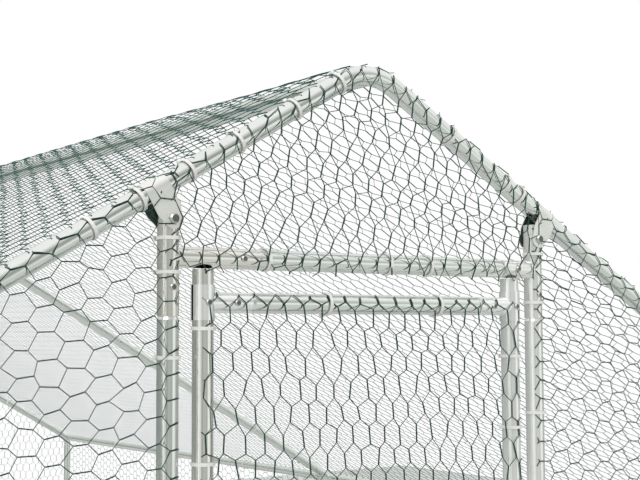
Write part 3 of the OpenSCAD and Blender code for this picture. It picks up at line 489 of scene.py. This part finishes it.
# A fine net has turned twists with closed ends, and wires that are split where they bend
def make_net(name, node, body, outline, hang, bent, lattice, seed, place, wire, fine):
    start, end, twist = net_wires(outline, hang, *lattice, seed)
    corners, depth = np.array(outline), np.full(len(twist), np.inf)
    for p, q in zip(corners, np.roll(corners, -1, 0)):
        inward = inward_of(p, q)
        depth = np.minimum(depth, np.minimum((start - p) @ inward, (end - p) @ inward))
    points, ends, marks, count = [], [], [], 0
    for some, steps in ((depth < BEND_ZONE, BENT_STEPS), (depth >= BEND_ZONE, STRAIGHT_STEPS)):
        steps = steps if fine else (0.0, 1.0)
        share, split = np.array(steps)[None, :, None], len(steps) - 1
        stops = start[some][:, None] * (1 - share) + end[some][:, None] * share
        points.append(stops.reshape(-1, 2))
        first = count + np.arange(some.sum())[:, None] * len(steps) + np.arange(split)[None]
        ends.append(np.stack([first, first + 1], -1).reshape(-1, 2))
        marks.append(np.repeat(twist[some], split))
        count += len(points[-1])
    verts = place(*net_bend(np.concatenate(points), outline, bent))
    ends = np.concatenate(ends)
    mesh = bpy.data.meshes.new(name)
    mesh.vertices.add(len(verts))
    mesh.vertices.foreach_set("co", verts.astype(np.float32).ravel())
    mesh.edges.add(len(ends))
    mesh.edges.foreach_set("vertices", ends.astype(np.int32).ravel())
    mark = mesh.attributes.new("twist", "BOOLEAN", "EDGE")
    mark.data.foreach_set("value", np.concatenate(marks))
    radius, twist_w, finish = wire
    piece = shaped_by(wire_net, {
        "Wire Radius": radius, "Twist Width": twist_w, "Finish": finish, "Twist Ends": fine,
        "Twist Points": TWIST_POINTS if fine else 2,
        "Twist Turns": 2.0 * math.pi if fine else 0.0}, put(name + "_wires", mesh), name)
    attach(piece, body)
    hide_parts(node)


HALF_W = 1.350
EAVE_Z = 1.180
RIDGE_Z = 1.970
CROWN_Z = 1.9565
HALF_POST = 0.291
END_BASE_Z = 0.046
BASE_Z = 0.018
BACK_Y = 1.95
roof_rise = (RIDGE_Z - EAVE_Z) / HALF_W
roof_slope = math.atan(roof_rise)
crown_x = (RIDGE_Z - CROWN_Z) / roof_rise
# Radius of the wire, width of a twist and finish
near_wire = (0.00060, 0.0015, near_green)
far_wire = (0.00054, 0.0014, far_green)
roof_wire = (0.00048, 0.0013, far_green)


def roof_line(x):
    return RIDGE_Z - abs(x) * roof_rise


def on_front(p, out):
    return np.stack([p[:, 0], FRONT_Y - out, p[:, 1]], 1)


# The net in the gable is set askew; it is bent over the roof tube and ends under the lintel
post_top = roof_line(HALF_POST)
make_net("gable_netting", "gable_net", "frame",
         [(-HALF_POST, LINTEL_Z), (HALF_POST, LINTEL_Z), (HALF_POST, post_top),
          (crown_x, CROWN_Z), (-crown_x, CROWN_Z), (-HALF_POST, post_top)],
         (0.0165, 0.005, 0.011, 0.014, 0.018, 0.005), (False, False, True, True, True, False),
         ((-0.1156, 1.8689), (0.0240, -0.0058), (0.0069, 0.0292), 0.0160), 3,
         on_front, near_wire, True)

# The nets beside the door have their twists nearly level and end in stubs on the posts
make_net("front_left_netting", "front_left_net", "frame",
         [(-HALF_W, END_BASE_Z), (-HALF_POST, END_BASE_Z), (-HALF_POST, post_top),
          (-HALF_W, EAVE_Z)],
         (0.010, 0.011, 0.017, 0.010), (True,) * 4,
         ((-0.3795, 1.5811), (-0.0017, 0.0285), (0.0298, 0.0043), 0.0187), 5,
         on_front, near_wire, True)
make_net("front_right_netting", "front_right_net", "frame",
         [(HALF_POST, END_BASE_Z), (HALF_W, END_BASE_Z), (HALF_W, EAVE_Z),
          (HALF_POST, post_top)],
         (0.010, 0.010, 0.017, 0.011), (True,) * 4,
         ((0.330, 1.600), (0.0010, 0.0282), (0.0299, -0.0012), 0.0187), 7,
         on_front, near_wire, True)

# The door net is tied to the uprights and ends on the top and bottom bars
make_net("door_netting", "door_net", "door",
         [(-UPRIGHT_X, LOW_BAR_Z), (UPRIGHT_X, LOW_BAR_Z), (UPRIGHT_X, TOP_BAR_Z),
          (-UPRIGHT_X, TOP_BAR_Z)],
         (0.011, 0.009, 0.0135, 0.009), (True,) * 4,
         ((-0.2276, 1.6195), (0.0260, -0.0003), (-0.0014, 0.0296), 0.0185), 11,
         on_front, near_wire, True)

# The nets of the walls and the back are single lengths
FLAT_HANG = 0.007
MESH_W, MESH_H, MESH_TWIST = 0.0275, 0.0297, 0.0185
wall = [(FRONT_Y, BASE_Z), (BACK_Y, BASE_Z), (BACK_Y, EAVE_Z), (FRONT_Y, EAVE_Z)]
for side, name, seed in ((-1, "left", 13), (1, "right", 17)):
    make_net(f"{name}_wall_netting", f"{name}_wall_net", "frame", wall, (FLAT_HANG,) * 4,
             (False,) * 4, ((0.0, 0.6), (0.0, MESH_W), (MESH_H, 0.0), MESH_TWIST), seed,
             lambda p, out, side=side: np.stack([side * (HALF_W + out), p[:, 0], p[:, 1]], 1),
             far_wire, False)
make_net("back_netting", "back_net", "frame",
         [(-HALF_W, END_BASE_Z), (HALF_W, END_BASE_Z), (HALF_W, EAVE_Z), (crown_x, CROWN_Z),
          (-crown_x, CROWN_Z), (-HALF_W, EAVE_Z)],
         (FLAT_HANG,) * 6, (False,) * 6,
         ((0.0, 1.0), (MESH_W, 0.0), (0.0, MESH_H), MESH_TWIST), 19,
         lambda p, out: np.stack([p[:, 0], BACK_Y + out, p[:, 1]], 1), far_wire, False)

# The roof nets run down from a fold over the ridge, which is pulled flat at each hoop
FLAT_FOLD = 0.100
FOLD_SLACK = 0.036
SLACK_FROM, SLACK_OVER = 0.20, 0.40
EAVE_HANG = 0.002


def on_roof(p, out, side):
    y, down = p.T
    apart = np.minimum(np.minimum(abs(y - FRONT_Y), abs(y)), abs(y - BACK_Y))
    slack = np.clip((apart - SLACK_FROM) / SLACK_OVER, 0.0, 1.0)
    fold = FLAT_FOLD - FOLD_SLACK * slack ** 2 * (3 - 2 * slack)
    top = RIDGE_Z + out / math.cos(roof_slope) - fold * (1 / math.cos(roof_slope) - 1)
    turn = np.minimum(down / fold, roof_slope)
    rest = np.maximum(down - fold * roof_slope, 0.0)
    x = fold * np.sin(turn) + rest * math.cos(roof_slope)
    z = top - fold * (1 - np.cos(turn)) - rest * math.sin(roof_slope)
    return np.stack([side * x, y, z], 1)


eave_down = (HALF_W + NET_OUT * math.sin(roof_slope)) / math.cos(roof_slope)
for side, name, across, along, twist_l, seed in (
        (-1, "left", (0.0, 0.0290), (0.0325, 0.0), 0.0245, 23),
        (1, "right", (MESH_W, 0.0), (0.0, MESH_H), MESH_TWIST, 29)):
    make_net(f"{name}_roof_netting", f"{name}_roof_net", "frame",
             [(FRONT_Y, 0.0), (BACK_Y, 0.0), (BACK_Y, eave_down), (FRONT_Y, eave_down)],
             (0.0, FLAT_HANG, EAVE_HANG, FLAT_HANG), (False,) * 4,
             ((0.0, 0.5), across, along, twist_l), seed,
             lambda p, out, side=side: on_roof(p, out, side), roof_wire, False)

# Cable ties: white nylon straps that hold the nets to the tubes.
# Each loops round the tube and the net wire, with its head and cut tail turned away from the net.
TIE_DIRT_SCALE, TIE_DIRT_DETAIL = 140.0, 4.0
TIE_SMOOTH, TIE_ROUGH = 0.28, 0.5
TIE_R = 0.0136
TIE_SHIFT = 0.0010
TIE_W = 0.0040
TIE_T = 0.0010
TIE_STEPS = 18
TIE_SWING = 0.4
tie_nylon, tie_tree, tie_bsdf, tie_dirt = mottled_finish(
    "tie_nylon", TIE_DIRT_SCALE, TIE_DIRT_DETAIL, (0.76, 0.755, 0.72), (0.90, 0.895, 0.87))
feed(tie_bsdf, {"Roughness": ranged(tie_tree, tie_dirt, 0.0, 1.0, TIE_SMOOTH, TIE_ROUGH)})


def tie_part(name, verts, faces):
    mesh = bpy.data.meshes.new(name)
    mesh.from_pydata(verts, [], faces)
    return bpy.data.objects.new(name, mesh)


def tie_band():
    verts, faces = [], []
    outer = TIE_R + TIE_T
    for i in range(TIE_STEPS):
        a = 2 * math.pi * i / TIE_STEPS
        for r, h in ((TIE_R, -1), (TIE_R, 1), (outer, 1), (outer, -1)):
            verts.append((r * math.cos(a), r * math.sin(a), h * TIE_W / 2))
        j = (i + 1) % TIE_STEPS
        for k in range(4):
            m = (k + 1) % 4
            faces.append((4 * i + m, 4 * j + m, 4 * j + k, 4 * i + k))
    return tie_part("tie_band", verts, faces)


# Head with its edges cut off, and the tail that comes out of it
def tie_head():
    verts, faces = [], []
    for x, y, size, taper in ((TIE_R, 0.0, (0.0044, 0.0056, 0.0058), 0.72),
                              (TIE_R + TIE_T, 0.0048, (0.0011, 0.0066, 0.0034), 1.0)):
        base = len(verts)
        for sx, cut in ((0, 1.0), (0.6, 1.0), (1, taper)):
            for sy, sz in ((-1, -1), (1, -1), (1, 1), (-1, 1)):
                verts.append((x + sx * size[0], y + sy * cut * size[1] / 2,
                              sz * cut * size[2] / 2))
        faces += [(base + 3, base + 2, base + 1, base), tuple(base + 8 + k for k in range(4))]
        for ring in (base, base + 4):
            for k in range(4):
                m = (k + 1) % 4
                faces.append((ring + k, ring + m, ring + 4 + m, ring + 4 + k))
    return tie_part("tie_head", verts, faces)


band_unit, head_unit = tie_band(), tie_head()


def tie_row_tree():
    tree, given = new_tree("tie_row", "GeometryNodeTree", {
        "Geometry": "Geometry", "Band": "Object", "Head": "Object", "Finish": "Material"},
        {"Geometry": "Geometry"})
    turn = add_node(tree, "GeometryNodeInputNamedAttribute", {"Name": "turn"},
                    data_type="FLOAT_VECTOR")
    euler = add_node(tree, "FunctionNodeEulerToRotation", {"Euler": turn.outputs["Attribute"]})
    rows = []
    for part in ("Band", "Head"):
        shape = add_node(tree, "GeometryNodeObjectInfo", {"Object": given[part]})
        row = add_node(tree, "GeometryNodeInstanceOnPoints", {
            "Points": given["Geometry"], "Instance": shape.outputs["Geometry"],
            "Rotation": euler.outputs["Rotation"]})
        rows.append(row.outputs["Instances"])
    join_and_paint(tree, rows, given["Finish"])
    return tree


tie_row = tie_row_tree()
tie_rng = np.random.default_rng(31)


# Each tie has the point on the tube axis, the tube's direction, the side of the net and that of
# the head
def make_ties(name, node, body, ties):
    mesh = bpy.data.meshes.new(name)
    mesh.from_pydata([Vector(at) + Vector(net).normalized() * TIE_SHIFT for at, _, net, _ in ties],
                     [], [])
    turn = mesh.attributes.new("turn", "FLOAT_VECTOR", "POINT")
    for i, (_, tube, _, head) in enumerate(ties):
        axis = Vector(tube).normalized()
        side = axis.cross(Vector(head)).normalized()
        swing = Matrix.Rotation(tie_rng.uniform(-TIE_SWING, TIE_SWING), 3, axis)
        out = swing @ side.cross(axis)
        turn.data[i].vector = Matrix((out, axis.cross(out), axis)).transposed().to_euler()
    piece = shaped_by(tie_row, {"Band": band_unit, "Head": head_unit, "Finish": tie_nylon},
                      put(name + "_points", mesh), name)
    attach(piece, body)
    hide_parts(node)


# Ties spaced evenly along a tube from a to b, with their heads away from the net
def between(a, b, count, net):
    a, b = Vector(a), Vector(b)
    return [(a + (b - a) * (i + 1) / (count + 1), b - a, net, -Vector(net)) for i in range(count)]


side_x, up_z = Vector((1.0, 0.0, 0.0)), Vector((0.0, 0.0, 1.0))
forward, backward = Vector((0.0, -1.0, 0.0)), Vector((0.0, 1.0, 0.0))
BEND_REACH = 0.620
LEG_BEND = 0.150
leg_reach = HALF_W - LEG_BEND * math.cos(roof_slope)


def off_roof(side):
    return Vector((side * math.sin(roof_slope), 0.0, math.cos(roof_slope)))


ties = []
for x in (-0.390, -0.330, -0.266, -0.200, -0.118, -0.050, 0.136, 0.236, 0.262):
    side = math.copysign(1.0, x)
    lean = Vector((side * math.cos(roof_slope), 0.0, -math.sin(roof_slope)))
    ties.append(((x, FRONT_Y, roof_line(x)), lean, forward, off_roof(side) + backward * 0.5))
for drop in (-0.021, 0.018, 0.115, 0.480, 0.900, 1.400):
    ties.append(((-HALF_POST, FRONT_Y, LINTEL_Z - drop), up_z, forward, backward - side_x))
for drop in (-0.022, 0.046, 0.199, 0.560, 0.980, 1.440):
    ties.append(((HALF_POST, FRONT_Y, LINTEL_Z - drop), up_z, forward, backward * 0.4 + side_x))
for x in (-0.160, 0.026, 0.094):
    ties.append(((x, FRONT_Y, LINTEL_Z), side_x, forward, backward + up_z))
for side in (-1, 1):
    slope_out, wall_out = off_roof(side), side_x * side
    x = side * HALF_W
    for y, out in ((FRONT_Y, forward), (BACK_Y, backward)):
        ties += between((x, y, END_BASE_Z), (x, y, EAVE_Z), 3, out)
        ties += between((side * HALF_POST, y, END_BASE_Z), (x, y, END_BASE_Z), 2, out)
    ties += between((x, 0.0, BASE_Z), (x, 0.0, EAVE_Z), 3, wall_out)
    for y in (FRONT_Y, 0.0):
        ties += between((x, y, BASE_Z), (x, y + BACK_Y, BASE_Z), 3, wall_out)
        ties += between((x, y, EAVE_Z), (x, y + BACK_Y, EAVE_Z), 3, slope_out)
    for y, count, out in ((0.0, 3, slope_out), (BACK_Y, 3, backward), (FRONT_Y, 2, forward)):
        ties += between((side * BEND_REACH, y, roof_line(BEND_REACH)),
                        (side * leg_reach, y, roof_line(leg_reach)), count, out)
make_ties("frame_cable_ties", "frame_ties", "frame", ties)

ties = []
for z in (TOP_BAR_Z, LOW_BAR_Z):
    ties += [((x, FRONT_Y, z), side_x, forward, backward - up_z) for x in (-0.070, 0.110)]
for x, drops in ((-UPRIGHT_X, (0.082, 0.237, 0.700, 1.180)),
                 (UPRIGHT_X, (0.120, 0.217, 0.620, 1.120))):
    inner = backward - side_x * math.copysign(1.0, x)
    ties += [((x, FRONT_Y, LINTEL_Z - drop), up_z, forward, inner) for drop in drops]
make_ties("door_cable_ties", "door_ties", "door", ties)
bpy.data.objects.remove(band_unit)
bpy.data.objects.remove(head_unit)

# Studio: a pale floor under the run and plain soft light. The camera sees a white surround, and
# reflections see the same surround with the darker hedge and open gaps that streak the tubes.
FLOOR_REACH = 9
FLOOR_ROUGHNESS = 0.9
WHITE = (1.0, 1.0, 1.0, 1.0)
SOFT_GREY = (0.80, 0.80, 0.80, 1.0)
floor_mesh = bpy.data.meshes.new("studio_floor")
floor_mesh.from_pydata([(x * FLOOR_REACH, y * FLOOR_REACH, 0)
                        for x, y in ((-1, -1), (1, -1), (1, 1), (-1, 1))], [], [(0, 1, 2, 3)])
studio_floor = put("studio_floor", floor_mesh)
floor_paint, _, floor_bsdf = new_finish("floor_paint")
feed(floor_bsdf, {"Base Color": (0.60, 0.62, 0.60, 1.0), "Roughness": FLOOR_ROUGHNESS})
floor_mesh.materials.append(floor_paint)

world = bpy.data.worlds.new("studio")
bpy.context.scene.world = world
world.use_nodes = True
world_tree = world.node_tree
world_tree.nodes.clear()


def surround(colour):
    return add_node(world_tree, "ShaderNodeBackground", {"Color": colour}).outputs["Background"]


def chosen(share, no, yes):
    return add_node(world_tree, "ShaderNodeMixShader",
                    {"Fac": share, 1: no, 2: yes}).outputs["Shader"]


way = parts_of(world_tree, "Generated")
bearing = ranged(world_tree, calc(world_tree, "ARCTAN2", way["X"], way["Y"]), -math.pi, math.pi)


# Brightness of the surround by bearing, from 0 to 1 once round
def bearing_ramp(stops):
    bands = add_node(world_tree, "ShaderNodeValToRGB", {"Fac": bearing})
    ramp = bands.color_ramp.elements
    while len(ramp) > 1:
        ramp.remove(ramp[0])
    for k, (at, value) in enumerate(stops):
        stop = ramp[0] if k == 0 else ramp.new(at)
        stop.position = at
        stop.color = (value * 0.960, value, value * 0.955, 1.0)
    return bands.outputs["Color"]


level_band = bearing_ramp([
    (0.000, 0.50), (0.056, 0.50), (0.075, 0.40), (0.110, 0.38), (0.128, 0.72), (0.165, 0.80),
    (0.185, 1.00), (0.225, 1.00), (0.250, 0.62), (0.270, 0.40), (0.310, 0.36), (0.480, 0.30),
    (0.640, 0.34), (0.720, 0.45), (0.800, 0.48), (0.825, 0.55), (0.845, 0.90), (0.880, 0.95),
    (0.918, 0.95), (0.932, 0.55), (0.950, 0.44), (1.000, 0.50)])
hedge_band = bearing_ramp([
    (0.000, 0.45), (0.120, 0.50), (0.240, 0.60), (0.320, 0.80), (0.600, 0.80), (0.680, 0.90),
    (0.740, 0.95), (0.850, 0.95), (0.885, 0.60), (0.925, 0.36), (0.970, 0.38), (1.000, 0.45)])
HEDGE_FROM, HEDGE_TO = 0.08, 0.17
SKY_FROM, SKY_TO = 0.40, 0.86
hedge = mixed(world_tree, ranged(world_tree, way["Z"], HEDGE_FROM, HEDGE_TO), level_band,
              hedge_band)
sky = mixed(world_tree, ranged(world_tree, way["Z"], SKY_FROM, SKY_TO), hedge, WHITE)
path = add_node(world_tree, "ShaderNodeLightPath", {}).outputs
mirrored = calc(world_tree, "MAXIMUM", path["Is Glossy Ray"], path["Is Transmission Ray"])
seen = chosen(mirrored, surround(SOFT_GREY), surround(sky))
add_node(world_tree, "ShaderNodeOutputWorld",
         {"Surface": chosen(path["Is Camera Ray"], seen, surround(WHITE))})

SUN_ENERGY = 1.2
sun_data = bpy.data.lights.new("soft_key", "SUN")
sun_data.energy = SUN_ENERGY
sun_data.angle = math.radians(50.0)
sun = put("soft_key", sun_data)
sun.rotation_euler = Euler((math.radians(48.0), 0.0, math.radians(-60.0)))

bpy.context.scene.view_settings.view_transform = "Standard"
